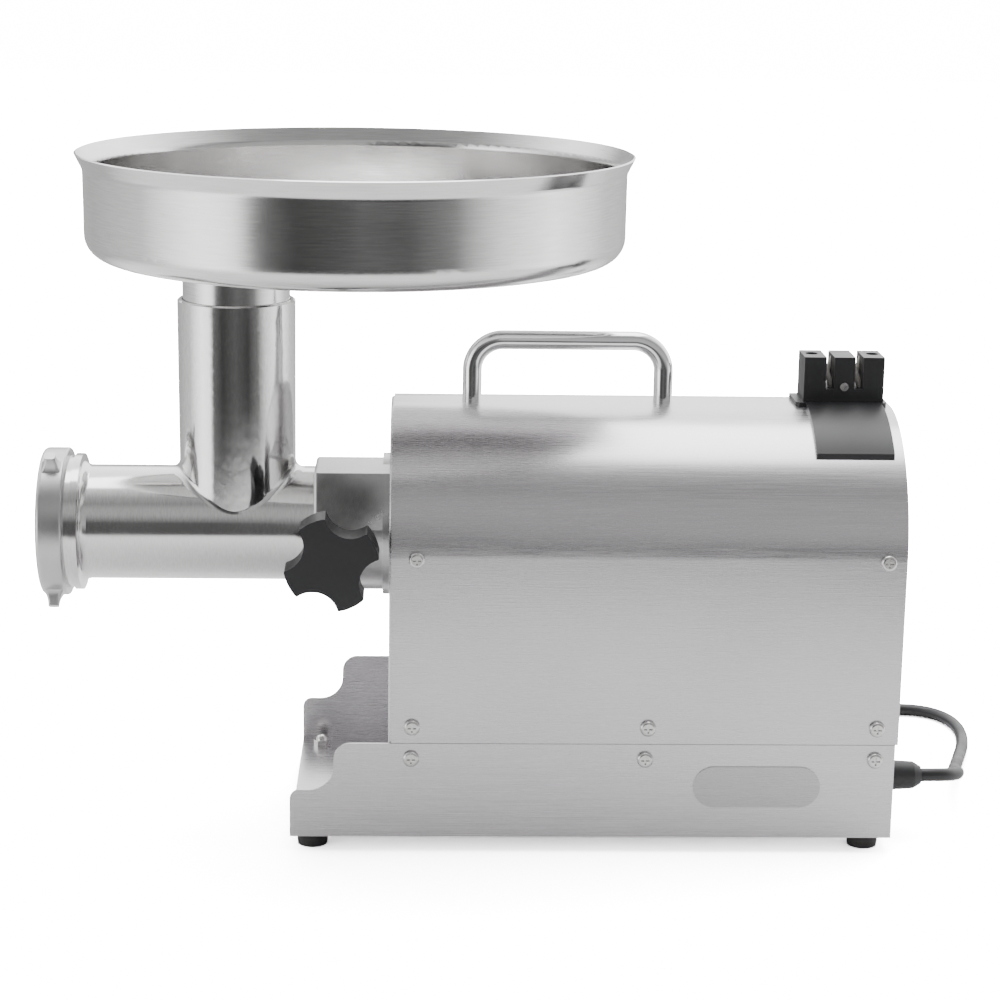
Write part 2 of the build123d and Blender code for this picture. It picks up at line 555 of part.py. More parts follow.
with BuildPart() as stator_core:
    add(ring_at(CORE_FRONT, CORE_REAR, 0, MOTOR_Z, STATOR_R, STATOR_BORE))
    with BuildSketch(Plane.YZ.offset(CORE_FRONT)):
        with Locations((0, MOTOR_Z)):
            with PolarLocations(36, 24):
                Rectangle(11, 4.2)
    extrude(amount=CORE_REAR - CORE_FRONT, mode=Mode.SUBTRACT)
save(stator_core.part, "stator_core")

with BuildPart() as stator_windings:
    for low, high in ((CORE_FRONT - 7.5, CORE_FRONT - 0.2), (CORE_REAR + 0.2, CORE_REAR + 7.5)):
        add(ring_at(low, high, 0, MOTOR_Z, 46, 30))
    with BuildSketch(Plane.YZ.offset(CORE_FRONT - 1)):
        with Locations((0, MOTOR_Z)):
            with PolarLocations(36, 24):
                Rectangle(9.6, 3.0)
    extrude(amount=CORE_REAR - CORE_FRONT + 2)
save(stator_windings.part, "stator_windings")

with BuildPart() as rotor_core:
    add(ring_at(CORE_FRONT, CORE_REAR, 0, MOTOR_Z, 27.0, 8.0 + FIT_GAP))
    add(ring_at(CORE_FRONT - 5, CORE_FRONT, 0, MOTOR_Z, 25.0, 15.0))
    add(ring_at(CORE_REAR, CORE_REAR + 5, 0, MOTOR_Z, 25.0, 15.0))
save(rotor_core.part, "rotor_core")

with BuildPart() as motor_shaft:
    mesh_angle = -90 + 180 / PINION_TEETH
    teeth = gear_face(STAGE1_FRONT - 1, MOTOR_Z, PINION_TEETH, STAGE1_MODULE, 1.0, mesh_angle)
    extrude(teeth, amount=STAGE1_REAR - STAGE1_FRONT + 2)
    add(bar(STAGE1_REAR + 1, MOTOR_SEATS[0], 0, MOTOR_Z, 5.6))
    add(bar(MOTOR_SEATS[0], MOTOR_SEATS[0] + BEARING_MOTOR_W, 0, MOTOR_Z, MOTOR_R))
    add(bar(MOTOR_SEATS[0] + BEARING_MOTOR_W, MOTOR_SEATS[1] - 0.5, 0, MOTOR_Z, 8.0))
    add(bar(MOTOR_SEATS[1] - 0.5, FAN_REAR + 1, 0, MOTOR_Z, MOTOR_R))
save(motor_shaft.part, "motor_shaft")

with BuildPart() as cooling_fan:
    add(ring_at(FAN_FRONT, FAN_REAR, 0, MOTOR_Z, 13, MOTOR_R + FIT_GAP))
    add(ring_at(FAN_FRONT, FAN_FRONT + 2, 0, MOTOR_Z, 46, MOTOR_R + FIT_GAP))
    with BuildSketch(Plane.YZ.offset(FAN_FRONT + 1)):
        with Locations((0, MOTOR_Z)):
            with PolarLocations(29, 9):
                Rectangle(33, 2.2)
    extrude(amount=FAN_REAR - FAN_FRONT - 1)
save(cooling_fan.part, "cooling_fan")

CRADLE_X = (72.0, 104.0)
with BuildPart() as motor_cradle:
    cradle_floor = BASE_BOTTOM + SHEET
    add(block(CRADLE_X[0], CRADLE_X[1], -56, 56, cradle_floor, cradle_floor + 3))
    for web_x in (CRADLE_X[0], CRADLE_X[1] - 3):
        add(block(web_x, web_x + 3, -46, 46, cradle_floor, 113))
    add(bar(60, 120, 0, MOTOR_Z, STATOR_R + FIT_GAP), mode=Mode.SUBTRACT)
save(motor_cradle.part, "motor_cradle")

# --- Electrical parts -----------------------------------------------------------------
CAP_Y, CAP_R, CAP_FRONT, CAP_REAR = 38.0, 18.0, 122.0, 184.0
CAP_Z = BASE_BOTTOM + SHEET + CAP_R + 2.5
with BuildPart() as run_capacitor:
    add(bar(CAP_FRONT, CAP_REAR, CAP_Y, CAP_Z, CAP_R))
    fillet(run_capacitor.edges(), 2)
    for tab_y in (CAP_Y - 6, CAP_Y + 6):
        add(block(CAP_REAR - 1, CAP_REAR + 8, tab_y - 0.4, tab_y + 0.4, CAP_Z - 3.2, CAP_Z + 3.2))
save(run_capacitor.part, "run_capacitor")

with BuildPart() as capacitor_clamp:
    add(ring_at(146, 158, CAP_Y, CAP_Z, CAP_R + 1.5, CAP_R + FIT_GAP))
    add(block(146, 158, CAP_Y - 14, CAP_Y + 14, BASE_BOTTOM + SHEET, BASE_BOTTOM + SHEET + 2.0))
    add(bar(140, 170, CAP_Y, CAP_Z, CAP_R + FIT_GAP), mode=Mode.SUBTRACT)
save(capacitor_clamp.part, "capacitor_clamp")

ROCKER_X = 219.0
with BuildPart() as switch_body:
    add(block(198, REAR_FACE, SWITCH_Y - 10.5, SWITCH_Y + 10.5, CONTROL_Z - 15, CONTROL_Z + 15))
    add(block(REAR_FACE, REAR_FACE + 2, SWITCH_Y - 12.5, SWITCH_Y + 12.5, CONTROL_Z - 17, CONTROL_Z + 17))
    add(block(211, 230, SWITCH_Y - 8.6, SWITCH_Y + 8.6, CONTROL_Z - 13.6, CONTROL_Z + 13.6),
        mode=Mode.SUBTRACT)
    for tab_z in (CONTROL_Z - 9, CONTROL_Z, CONTROL_Z + 9):
        add(block(189, 198, SWITCH_Y - 3, SWITCH_Y + 3, tab_z - 0.4, tab_z + 0.4))
save(switch_body.part, "switch_body")

with BuildPart() as switch_rocker:
    with BuildSketch(Plane.XZ.offset(-(SWITCH_Y + 8.0))):
        with Locations((0, CONTROL_Z)):
            Polygon((ROCKER_X - 3.5, -11.5), (ROCKER_X + 4.4, -12.2), (ROCKER_X + 2.6, 0),
                    (ROCKER_X + 4.4, 12.2), (ROCKER_X - 3.5, 11.5), (ROCKER_X - 5.5, 0), align=None)
    extrude(amount=16.0)
save(switch_rocker.part, "switch_rocker")

with BuildPart() as breaker_body:
    add(bar(197, REAR_FACE - SHEET, BREAKER_Y, CONTROL_Z, 10))
    add(bar(200, 226.5, BREAKER_Y, CONTROL_Z, 5.5))
    add(bar(210, 230, BREAKER_Y, CONTROL_Z, 3.7), mode=Mode.SUBTRACT)
    for tab_z in (CONTROL_Z - 5, CONTROL_Z + 5):
        add(block(188, 197, BREAKER_Y - 3, BREAKER_Y + 3, tab_z - 0.4, tab_z + 0.4))
save(breaker_body.part, "breaker_body")

with BuildPart() as breaker_nut:
    with BuildSketch(Plane.YZ.offset(REAR_FACE)):
        with Locations((BREAKER_Y, CONTROL_Z)):
            RegularPolygon(8.6, 6)
            Circle(5.5 + FIT_GAP, mode=Mode.SUBTRACT)
    extrude(amount=2.6)
save(breaker_nut.part, "breaker_nut")

with BuildPart() as reset_button:
    add(bar(213.0, 229.0, BREAKER_Y, CONTROL_Z, 3.4))
    fillet(reset_button.edges().sort_by(Axis.X)[-1], 0.8)
save(reset_button.part, "reset_button")

BADGE_X, BADGE_Z, BADGE_W, BADGE_H = 149.9, 36.2, 65.7, 21.9
with BuildPart() as badge_plate:
    with BuildSketch(Plane.XZ.offset(BASE_HALF)):
        with Locations((BADGE_X, BADGE_Z)):
            SlotOverall(BADGE_W, BADGE_H)
    extrude(amount=0.6)
save(badge_plate.part, "badge_plate")

# --- Head socket and lock screw -------------------------------------------------------
SOCKET_FRONT, SOCKET_R = -79.0, 35.0
SOCKET_BOSS_BOTTOM = 160.8
FLANGE_R, FLANGE_T = 37.5, 4.0
STUD_R = 5.0

with BuildPart() as head_socket:
    add(bar(SOCKET_FRONT, PANEL_FACE, 0, AXIS_Z, SOCKET_R))
    add(block(SOCKET_FRONT, PANEL_FACE, -SOCKET_R, 0, SOCKET_BOSS_BOTTOM, AXIS_Z + SOCKET_R))
    fillet(head_socket.faces().sort_by(Axis.X)[0].edges(), 1.8)
    add(bar(PANEL_FACE - FLANGE_T, PANEL_FACE, 0, AXIS_Z, FLANGE_R))
    add(bar(SOCKET_FRONT - 1, 0, 0, AXIS_Z, SHANK_R + RUN_GAP), mode=Mode.SUBTRACT)
    for bolt_y, bolt_z in SOCKET_BOLTS:
        add(bar(PANEL_FACE - 14, 0, bolt_y, bolt_z, 3.0 + FIT_GAP), mode=Mode.SUBTRACT)
    with Locations(Location((KNOB_X, -30, AXIS_Z), (90, 0, 0))):
        Cylinder(STUD_R + RUN_GAP, 14, mode=Mode.SUBTRACT)
save(head_socket.part, "head_socket")

with BuildPart() as socket_bolts:
    for bolt_y, bolt_z in SOCKET_BOLTS:
        add(bar(SOCKET_BOLT_SEAT, SOCKET_BOLT_SEAT + 4.2, bolt_y, bolt_z, 4.6))
        add(bar(PANEL_FACE - 12, SOCKET_BOLT_SEAT, bolt_y, bolt_z, 3.0))
save(socket_bolts.part, "socket_bolts")

STUD_TIP_Y = -SHANK_R - 0.3
with BuildPart() as lock_stud:
    with BuildSketch(Plane.XZ.offset(-STUD_TIP_Y)):
        with Locations((KNOB_X, AXIS_Z)):
            Circle(STUD_R)
    extrude(amount=-STUD_TIP_Y - KNOB_FACE - KNOB_T + 10 + 2 * STUD_TIP_Y)
save(lock_stud.part, "lock_stud")

KNOB_LOBES, KNOB_TURN = 4, 25.5
SCALLOP_R, SCALLOP_AT = 13.0, 28.4
with BuildPart() as lock_knob:
    with BuildSketch(Plane.XZ.offset(-KNOB_FACE - KNOB_T)):
        with Locations((KNOB_X, AXIS_Z)):
            Circle(KNOB_R)
            with PolarLocations(SCALLOP_AT, KNOB_LOBES, start_angle=KNOB_TURN + 180 / KNOB_LOBES):
                Circle(SCALLOP_R, mode=Mode.SUBTRACT)
    extrude(amount=KNOB_T)
    fillet(lock_knob.edges().filter_by(Axis.Y), 0.9)
    with Locations(Location((KNOB_X, KNOB_FACE + KNOB_T, AXIS_Z), (90, 0, 0))):
        Cylinder(STUD_R + RUN_GAP, 2 * (KNOB_T - 6), mode=Mode.SUBTRACT)
save(lock_knob.part, "lock_knob")

# --- Grinding head --------------------------------------------------------------------
NOSE_FRONT, NOSE_R = -216.0, 34.8
COLLAR_FRONT, COLLAR_REAR, COLLAR_R = -205.0, -201.2, 36.0
PLATE_FRONT = -216.8
PLATE_REAR = PLATE_FRONT + PLATE_T
BARREL_REAR = SOCKET_FRONT - 0.3
BORE_REAR = -88.0
SHANK_REAR = -44.0
BUSH_REAR, BUSH_R = -61.0, 14.0
OVAL_HALF, MOUTH_HALF = 27.6, 29.4     # the throat is slightly oval at its foot
WELD_R = 4.5
NECK_R, NECK_BOTTOM = 27.8, 254.0      # the tray's neck, which stands in the throat
KEY_Z = AXIS_Z + PLATE_R + 0.3   # the key in the head that stops the plate from turning

with BuildPart() as grinding_head:
    add(bar(COLLAR_REAR, BARREL_REAR, 0, AXIS_Z, BARREL_R))
    with BuildSketch(Plane.XY.offset(AXIS_Z)):
        with Locations((THROAT_X, 0)):
            Ellipse(THROAT_R - 0.3, OVAL_HALF)
    with BuildSketch(Plane.XY.offset(THROAT_TOP)):
        with Locations((THROAT_X, 0)):
            Ellipse(THROAT_R, MOUTH_HALF)
    loft()
    crease = [e for e in grinding_head.edges().filter_by_position(Axis.Z, AXIS_Z, NECK_BOTTOM)
              if e.length > BARREL_R and e.geom_type not in (GeomType.LINE, GeomType.CIRCLE)]
    fillet(crease, WELD_R)
    chamfer(grinding_head.edges().group_by(Axis.Z)[-1], 0.8)
    add(bar(COLLAR_FRONT, COLLAR_REAR, 0, AXIS_Z, COLLAR_R))
    collar_root = [e for e in grinding_head.edges().filter_by(GeomType.CIRCLE)
                   if abs(e.radius - BARREL_R) < 0.01 and abs(e.center().X - COLLAR_REAR) < 0.01]
    fillet(collar_root, 4.5)
    add(bar(NOSE_FRONT, COLLAR_FRONT, 0, AXIS_Z, NOSE_R))
    add(bar(BARREL_REAR, SHANK_REAR, 0, AXIS_Z, SHANK_R))
    add(bar(-300, BORE_REAR, 0, AXIS_Z, BORE_R), mode=Mode.SUBTRACT)
    add(bar(-300, PLATE_REAR + 0.1, 0, AXIS_Z, PLATE_R + 0.1), mode=Mode.SUBTRACT)
    add(bar(BORE_REAR - 5, BUSH_REAR, 0, AXIS_Z, BUSH_R + FIT_GAP), mode=Mode.SUBTRACT)
    add(bar(BUSH_REAR - 1, 0, 0, AXIS_Z, 12.0), mode=Mode.SUBTRACT)
    for bore_bottom, bore_radius in ((AXIS_Z, BORE_R - 1.5), (NECK_BOTTOM - 2, NECK_R + 0.4)):
        with BuildSketch(Plane.XY.offset(bore_bottom)):
            with Locations((THROAT_X, 0)):
                Circle(bore_radius)
        extrude(amount=200, mode=Mode.SUBTRACT)
    add(bar(PLATE_FRONT + 2.3, PLATE_REAR + 0.1, 0, KEY_Z, 1.5))
save(grinding_head.part, "grinding_head")

with BuildPart() as auger_bushing:
    add(ring_at(BORE_REAR, BUSH_REAR, 0, AXIS_Z, BUSH_R, DRIVE_R + RUN_GAP))
    add(ring_at(BORE_REAR - 1.6, BORE_REAR, 0, AXIS_Z, 17, DRIVE_R + RUN_GAP))
save(auger_bushing.part, "auger_bushing")

# --- Auger and knife ------------------------------------------------------------------
FLIGHT_FRONT, FLIGHT_REAR, FLIGHT_PITCH = -195.0, -96.0, 33.0
AUGER_CORE_R, FLIGHT_R = 9.0, 25.3
STUD_SQUARE = 9.6
KNIFE_FRONT, KNIFE_REAR, KNIFE_R = -208.6, -199.6, 24.8

with BuildPart() as auger:
    with BuildLine():
        flight_line = Helix(
            FLIGHT_PITCH, FLIGHT_REAR - FLIGHT_FRONT, (AUGER_CORE_R + FLIGHT_R) / 2,
            center=(FLIGHT_FRONT, 0, AXIS_Z), direction=(1, 0, 0),
        )
    with BuildSketch(Plane(flight_line @ 0, x_dir=(flight_line @ 0 - Vector(FLIGHT_FRONT, 0, AXIS_Z)),
                           z_dir=flight_line % 0)):
        Rectangle(FLIGHT_R - AUGER_CORE_R + 2, 4.0)
    sweep(path=flight_line, is_frenet=True)
    add(bar(-300, 0, 0, AXIS_Z, FLIGHT_R), mode=Mode.INTERSECT)
    add(bar(KNIFE_REAR + 0.3, BORE_REAR - 1.7, 0, AXIS_Z, AUGER_CORE_R + 0.5))
    add(bar(BORE_REAR - 6, BORE_REAR - 1.7, 0, AXIS_Z, 16))
    add(bar(BORE_REAR - 1.7, BUSH_REAR + 0.5, 0, AXIS_Z, DRIVE_R))
    add(block(BUSH_REAR, COUPLING_END + 12, -SQUARE / 2, SQUARE / 2,
              AXIS_Z - SQUARE / 2, AXIS_Z + SQUARE / 2))
    add(block(KNIFE_FRONT, KNIFE_REAR + 1, -STUD_SQUARE / 2, STUD_SQUARE / 2,
              AXIS_Z - STUD_SQUARE / 2, AXIS_Z + STUD_SQUARE / 2))
    add(bar(PLATE_FRONT + 0.4, KNIFE_FRONT, 0, AXIS_Z, 4.0))
save(auger.part, "auger")

with BuildPart() as knife:
    add(bar(KNIFE_FRONT, KNIFE_REAR, 0, AXIS_Z, 10.0))
    with BuildSketch(Plane.YZ.offset(KNIFE_FRONT)):
        with Locations((0, AXIS_Z)):
            with PolarLocations(0, 4):
                Polygon((4, -5), (KNIFE_R - 1, -2.5), (KNIFE_R, 3.5), (4, 6), align=None)
    extrude(amount=6.5)
    square = STUD_SQUARE / 2 + 0.1
    add(block(-220, -190, -square, square, AXIS_Z - square, AXIS_Z + square), mode=Mode.SUBTRACT)
save(knife.part, "knife")

with BuildPart() as grinding_plate:
    add(bar(PLATE_FRONT, PLATE_REAR, 0, AXIS_Z, PLATE_R))
    with BuildSketch(Plane.YZ.offset(PLATE_FRONT - 1)):
        with Locations((0, AXIS_Z)):
            with HexLocations(3.6, 7, 7):
                Circle(2.4)
            Rectangle(70, 70, mode=Mode.INTERSECT)
    holes = [face for face in grinding_plate.pending_faces
             if 8 < (face.center() - Vector(PLATE_FRONT - 1, 0, AXIS_Z)).length < 26]
    grinding_plate.pending_faces = holes
    grinding_plate.pending_face_planes = grinding_plate.pending_face_planes[:len(holes)]
    extrude(amount=20, mode=Mode.SUBTRACT)
    add(bar(-230, -200, 0, AXIS_Z, 4.0 + RUN_GAP), mode=Mode.SUBTRACT)
    add(bar(-230, -200, 0, KEY_Z, 1.8), mode=Mode.SUBTRACT)
save(grinding_plate.part, "grinding_plate")

LUG_TURN, LUG_TIP = 120, 46.5
LUG_SECTIONS = ((37.4, 12.4, 12.0), (41.6, 7.4, 6.4), (LUG_TIP, 5.6, 4.8))
RING_BORE_R = 27.5
with BuildPart() as ring_nut:
    add(bar(RING_FRONT, RING_REAR, 0, AXIS_Z, RING_R))
    fillet(ring_nut.faces().sort_by(Axis.X)[0].edges(), 2.5)
    fillet(ring_nut.faces().sort_by(Axis.X)[-1].edges(), 1.2)
    for lug_angle in (LUG_TURN, LUG_TURN + 120, LUG_TURN + 240):
        lug = []
        for radius, length, width in LUG_SECTIONS:
            outwards = Vector(0, cos(radians(lug_angle)), sin(radians(lug_angle)))
            centre = Vector((RING_FRONT + RING_REAR) / 2, 0, AXIS_Z) + outwards * radius
            across = Plane(centre, x_dir=(1, 0, 0), z_dir=outwards)
            with BuildSketch(across, mode=Mode.PRIVATE) as section:
                RectangleRounded(length, width, 1.6)
            lug.append(section.sketch)
        loft(lug)
    add(bar(-230, 0, 0, AXIS_Z, RING_BORE_R), mode=Mode.SUBTRACT)
    add(bar(RING_FRONT + 5, 0, 0, AXIS_Z, NOSE_R + 0.1), mode=Mode.SUBTRACT)
save(ring_nut.part, "ring_nut")

# --- Tray -----------------------------------------------------------------------------
TRAY_T, TRAY_CORNER, TRAY_FLARE = 1.0, 12.0, 8.0

with BuildPart() as tray_pan:
    with BuildSketch(Plane.XZ) as tray_section:
        with BuildLine():
            skin = FilletPolyline(
                (TRAY_X, TRAY_BOTTOM), (TRAY_X + TRAY_R, TRAY_BOTTOM),
                (TRAY_X + TRAY_R + 0.3, TRAY_RIM - TRAY_FLARE), (TRAY_X + TRAY_RIM_R, TRAY_RIM),
                radius=(TRAY_CORNER, 6.0),
            )
            offset(skin, amount=TRAY_T, side=Side.LEFT, closed=True)
        make_face()
    revolve(axis=Axis((TRAY_X, 0, 0), (0, 0, 1)))
    with BuildSketch(Plane.XY.offset(TRAY_BOTTOM - 1)):
        with Locations((THROAT_X, 0)):
            Circle(NECK_R - TRAY_T)
    extrude(amount=5 * TRAY_T, mode=Mode.SUBTRACT)
with BuildPart() as tray_neck:
    with BuildSketch(Plane.XY.offset(NECK_BOTTOM)):
        with Locations((THROAT_X, 0)):
            Circle(NECK_R)
            Circle(NECK_R - TRAY_T, mode=Mode.SUBTRACT)
    extrude(amount=TRAY_BOTTOM - NECK_BOTTOM)
tray = Compound([tray_pan.part.solid(), tray_neck.part.solid()])     # welded face to face
save(tray, "tray")

# --- Power cord -----------------------------------------------------------------------
COIL_X, COIL_Y, COIL_LOW = 146.0, 136.0, 0.9
COIL_TURNS_R = (31.5, 38.5, 45.5)
COIL_TOP = COIL_LOW + 4 * CORD_R
LOW_TURN_Z, HIGH_TURN_Z = COIL_LOW + CORD_R, COIL_LOW + 3 * CORD_R
PLUG_Y, PLUG_Z, PLUG_END = 105.0, 12.6, 78.0
PLUG_REAR, PLUG_FRONT, BLADE_END = 62.0, 24.0, 6.5

with BuildPart() as strain_relief:
    with BuildSketch(Plane.XY.offset(GLAND_Z)):
        with BuildLine():
            Polyline(
                (215.5, GLAND_Y), (215.5, GLAND_Y + 9), (BASE_REAR - SHEET, GLAND_Y + 9),
                (BASE_REAR - SHEET, GLAND_Y + 7 - FIT_GAP), (BASE_REAR, GLAND_Y + 7 - FIT_GAP),
                (BASE_REAR, GLAND_Y + 10), (BASE_REAR + 3.2, GLAND_Y + 10),
                (BASE_REAR + 3.2, GLAND_Y + 8), (RELIEF_END - 4, GLAND_Y + 7.2),
                (RELIEF_END, GLAND_Y + 4.8), (RELIEF_END, GLAND_Y), close=True,
            )
        make_face()
    revolve(axis=Axis((0, GLAND_Y, GLAND_Z), (1, 0, 0)))
save(strain_relief.part, "strain_relief")


def corner_radii(points):
    """Largest smooth arc at each inner point of a cord's route."""
    radii = []
    for before, here, after in zip(points, points[1:], points[2:]):
        run_in, run_out = Vector(here) - Vector(before), Vector(after) - Vector(here)
        half_turn = radians(run_in.get_angle(run_out)) / 2
        radii.append(0.45 * min(run_in.length, run_out.length) / tan(half_turn))
    return radii


CORD_ROUTE = [
    (RELIEF_END, GLAND_Y, GLAND_Z), (249, GLAND_Y, GLAND_Z), (257, -41.8, 31), (263, -34.5, 29),
    (266.5, -22.5, 25.5), (268.5, -7, 20), (272, 12, 13.8), (278, 34, 8.8), (285, 58, 5.4),
    (292.5, 82, 3.9),
    (297, 105, 3.6), (296.5, 127, 3.6), (288, 144.5, 3.6), (270.5, 151.5, 3.6),
    (251.5, 146, 3.6), (234, 133, 3.6), (216.5, 118, 3.6), (196, 105.5, 3.6),
    (174, 96.8, 3.9), (157, 91.6, LOW_TURN_Z), (COIL_X, COIL_Y - COIL_TURNS_R[-1], LOW_TURN_Z),
]
TAIL_ROUTE = [
    (COIL_X, COIL_Y - COIL_TURNS_R[-1], HIGH_TURN_Z), (134, 90.9, 11), (120, 94.6, 9.2),
    (106.5, 100, 8.8), (95, 103.8, 10.8), (86, PLUG_Y, PLUG_Z), (PLUG_END, PLUG_Y, PLUG_Z),
]

with BuildPart() as power_cord:
    with BuildLine():
        cord_line = FilletPolyline(*CORD_ROUTE, radius=corner_radii(CORD_ROUTE))
    with BuildSketch(Plane(cord_line @ 0, z_dir=cord_line % 0)):
        Circle(CORD_R)
    sweep()
save(power_cord.part, "power_cord")

with BuildPart() as cord_tail:
    with BuildLine():
        tail_line = FilletPolyline(*TAIL_ROUTE, radius=corner_radii(TAIL_ROUTE))
    with BuildSketch(Plane(tail_line @ 0, z_dir=tail_line % 0)):
        Circle(CORD_R)
    sweep()
save(cord_tail.part, "cord_tail")

for name, line, route in (("cord", cord_line, CORD_ROUTE), ("tail", tail_line, TAIL_ROUTE)):
    print(name, "length", round(line.length, 1), "radii", [round(r) for r in corner_radii(route)])
for name, line, tube in (("cord", cord_line, power_cord), ("tail", tail_line, cord_tail)):
    print(name, "volume", round(tube.part.volume), "expected", round(pi * CORD_R**2 * line.length))

with BuildPart() as cord_coil:
    with BuildSketch(Plane.XY.offset(COIL_LOW)):
        with Locations((COIL_X, COIL_Y)):
            Circle(COIL_TURNS_R[-1] + CORD_R)
            Circle(COIL_TURNS_R[0] - CORD_R, mode=Mode.SUBTRACT)
    extrude(amount=COIL_TOP - COIL_LOW)
    fillet(cord_coil.edges(), CORD_R - 0.5)
save(cord_coil.part, "cord_coil")

TIE_INNER = COIL_Y + COIL_TURNS_R[0] - CORD_R - 0.4
TIE_OUTER = COIL_Y + COIL_TURNS_R[-1] + CORD_R + 0.2
with BuildPart() as cord_tie:
    add(block(COIL_X - 4, COIL_X + 4, TIE_INNER - 0.9, TIE_OUTER + 0.9, 0.1, COIL_TOP + 1.0))
    fillet(cord_tie.edges().filter_by(Axis.X), 2.5)
    add(block(COIL_X - 5, COIL_X + 5, TIE_INNER, TIE_OUTER, COIL_LOW - 0.05, COIL_TOP + 0.1),
        mode=Mode.SUBTRACT)
save(cord_tie.part, "cord_tie")

PLUG_LOW = 0.2
with BuildPart() as plug_body:
    add(block(PLUG_FRONT, PLUG_REAR, PLUG_Y - 13, PLUG_Y + 13, PLUG_LOW, 2 * PLUG_Z - PLUG_LOW))
    fillet(plug_body.edges().filter_by(Axis.X), 6)
    fillet(plug_body.faces().sort_by(Axis.X)[-1].edges(), 4)
    with BuildSketch(Plane.XY.offset(PLUG_Z)):
        with BuildLine():
            Polyline(
                (PLUG_REAR - 2, PLUG_Y), (PLUG_REAR - 2, PLUG_Y + 7), (PLUG_REAR + 2, PLUG_Y + 6.5),
                (PLUG_END, PLUG_Y + 4.6), (PLUG_END, PLUG_Y), close=True,
            )
        make_face()
    revolve(axis=Axis((0, PLUG_Y, PLUG_Z), (1, 0, 0)))
save(plug_body.part, "plug_body")

BLADE_Z, BLADE_PITCH, EARTH_OFFSET = 8.4, 12.7, 11.9
with BuildPart() as plug_blades:
    for blade_y in (PLUG_Y - BLADE_PITCH / 2, PLUG_Y + BLADE_PITCH / 2):
        add(block(BLADE_END, PLUG_FRONT, blade_y - 0.75, blade_y + 0.75, BLADE_Z - 3.15, BLADE_Z + 3.15))
    add(bar(BLADE_END - 3, PLUG_FRONT, PLUG_Y, BLADE_Z + EARTH_OFFSET, 2.4))
save(plug_blades.part, "plug_blades")
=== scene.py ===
"""An electric meat grinder on a pale floor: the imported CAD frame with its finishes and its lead."""
from math import cos, pi, sin, tau

import bpy
from mathutils import Matrix, Vector


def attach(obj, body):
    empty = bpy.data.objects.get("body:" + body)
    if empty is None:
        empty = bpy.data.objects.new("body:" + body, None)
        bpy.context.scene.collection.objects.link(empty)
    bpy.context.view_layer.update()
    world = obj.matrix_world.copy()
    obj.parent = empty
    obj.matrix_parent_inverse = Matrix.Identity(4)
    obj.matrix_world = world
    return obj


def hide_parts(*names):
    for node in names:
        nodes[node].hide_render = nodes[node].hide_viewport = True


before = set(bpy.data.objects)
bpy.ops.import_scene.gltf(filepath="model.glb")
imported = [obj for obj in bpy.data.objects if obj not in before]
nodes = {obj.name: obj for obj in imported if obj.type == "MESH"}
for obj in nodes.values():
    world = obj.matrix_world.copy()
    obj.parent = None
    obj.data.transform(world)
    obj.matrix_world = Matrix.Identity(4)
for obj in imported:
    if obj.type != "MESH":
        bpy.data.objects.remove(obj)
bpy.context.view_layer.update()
MM = 0.001


# --- Camera ---------------------------------------------------------------------------
CAMERA_AT = (-0.0353, -1.2678, 0.4734)
PITCH, YAW, ROLL = 0.2356, 0.0347, 0.0156       # down, to the right and clockwise, in radians
SENSOR, LENS = 36, 88.55


def make_camera():
    """A long lens in front of the machine, a little above the tray and looking slightly down."""
    data = bpy.data.cameras.new("Camera")
    data.sensor_width = SENSOR
    data.lens = LENS
    camera = bpy.data.objects.new("Camera", data)
    turn = Matrix.Rotation(-YAW, 4, "Z") @ Matrix.Rotation(pi / 2 - PITCH, 4, "X")
    turn = turn @ Matrix.Rotation(ROLL, 4, "Z")
    camera.matrix_world = Matrix.Translation(CAMERA_AT) @ turn
    bpy.context.scene.collection.objects.link(camera)
    bpy.context.scene.camera = camera


make_camera()


# --- Shader helpers -------------------------------------------------------------------
VALUE_A, VALUE_B = 2, 3                         # sockets of a Mix node that mixes numbers
COLOR_A, COLOR_B, COLOR_OUT = 6, 7, 2           # sockets of a Mix node that mixes colours


def add_node(tree, kind, inputs=None, **settings):
    """A shader node, with inputs given as values or as sockets to link."""
    node = tree.nodes.new(kind)
    for key, value in settings.items():
        setattr(node, key, value)
    for key, value in (inputs or {}).items():
        if isinstance(value, bpy.types.NodeSocket):
            tree.links.new(value, node.inputs[key])
        else:
            node.inputs[key].default_value = value
    return node


def new_material(name, color, roughness, metallic=0.0):
    """A material, its node tree and its Principled shader."""
    material = bpy.data.materials.new(name)
    material.use_nodes = True
    tree = material.node_tree
    shader = tree.nodes["Principled BSDF"]
    shader.inputs["Base Color"].default_value = (*color, 1)
    shader.inputs["Roughness"].default_value = roughness
    shader.inputs["Metallic"].default_value = metallic
    return material, tree, shader


def noise(tree, scale, stretch=(1, 1, 1), detail=4.0):
    """Noise in the object's own coordinates, stretched along an axis by a small factor."""
    place = add_node(tree, "ShaderNodeTexCoord").outputs["Object"]
    mapping = add_node(tree, "ShaderNodeMapping", {"Vector": place, "Scale": stretch})
    inputs = {"Vector": mapping.outputs["Vector"], "Scale": scale, "Detail": detail}
    return add_node(tree, "ShaderNodeTexNoise", inputs).outputs["Fac"]


def spread(tree, value, low, high):
    """Maps a noise value's usual span to low..high."""
    inputs = {"Value": value, "From Min": 0.3, "From Max": 0.7, "To Min": low, "To Max": high}
    return add_node(tree, "ShaderNodeMapRange", inputs).outputs["Result"]


def blend_colors(tree, value, first, second):
    """A colour between first and second by a noise value."""
    inputs = {0: spread(tree, value, 0, 1), COLOR_A: (*first, 1), COLOR_B: (*second, 1)}
    return add_node(tree, "ShaderNodeMix", inputs, data_type="RGBA").outputs[COLOR_OUT]


